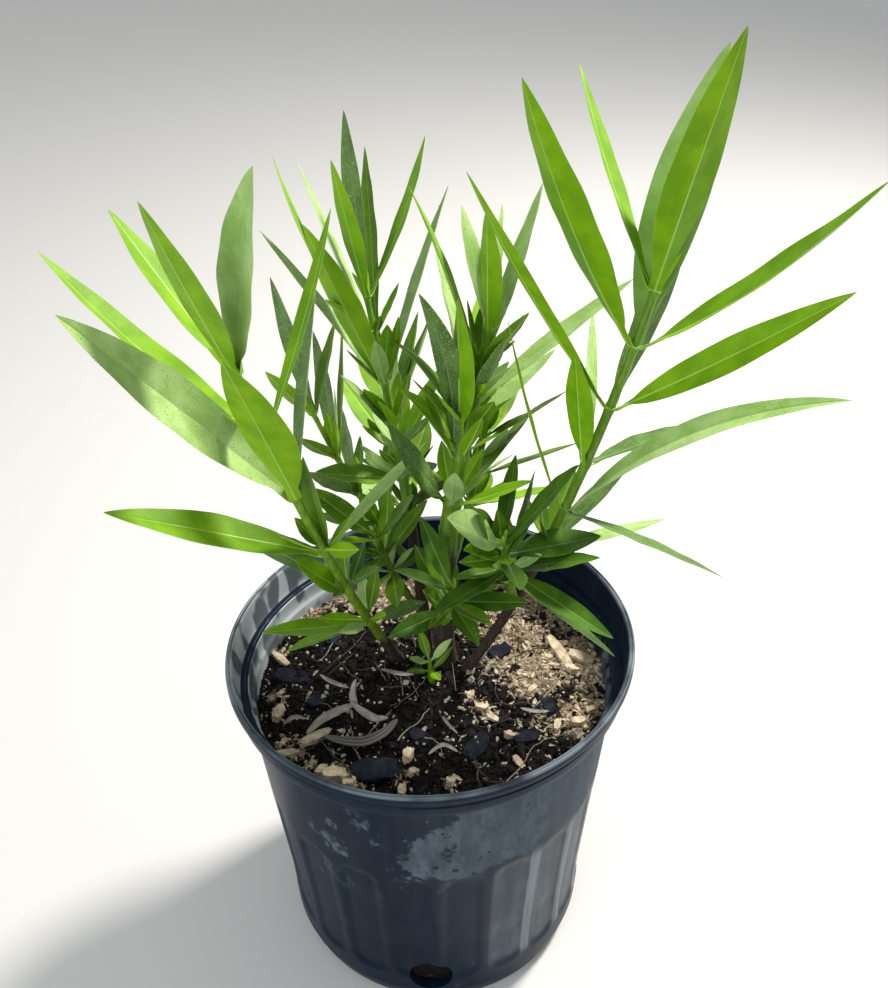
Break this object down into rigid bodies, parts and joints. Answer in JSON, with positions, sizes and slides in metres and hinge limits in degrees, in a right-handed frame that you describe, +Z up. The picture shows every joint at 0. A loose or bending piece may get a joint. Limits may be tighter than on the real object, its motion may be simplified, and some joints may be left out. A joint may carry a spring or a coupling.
{
  "type": "potted oleander",
  "caption": "Young oleander shrub with several leaning stems and whorls of long narrow leaves, rooted in bark mix in a tapered fluted nursery pot.",
  "frame": {"origin": "middle of the pot's flat underside", "axes": "+Z up along the pot's axis; -Y is the side that faces a viewer, with the tallest stem leaning to +X"},
  "size_m": [0.3535, 0.2467, 0.551],
  "materials": {
    "pot_plastic": "satin, dusty",
    "potting_bark": "rough, damp",
    "bark": "rough",
    "green_stem": "satin",
    "leaves": "satin, wet"
  },
  "bodies": {
    "root": {"bough_back": "green_stem", "bough_back_right": "green_stem", "bough_front_middle": "green_stem", "bough_front_right": "green_stem", "bough_inner_left": "green_stem", "bough_low_left": "green_stem", "mass_back": "leaves", "mass_back_left": "leaves", "mass_back_right": "leaves", "mass_centre": "leaves", "mass_foot": "leaves", "mass_front_left": "leaves", "mass_front_middle": "leaves", "mass_front_right": "leaves", "mass_inner_left": "leaves", "mass_low_left": "leaves", "mass_tall_right": "leaves", "pot": "pot_plastic", "soil": "potting_bark", "stem_back_left": "bark", "stem_centre": "bark", "stem_front_left": "bark", "stem_tall_right": "bark"}
  },
  "joints": []
}
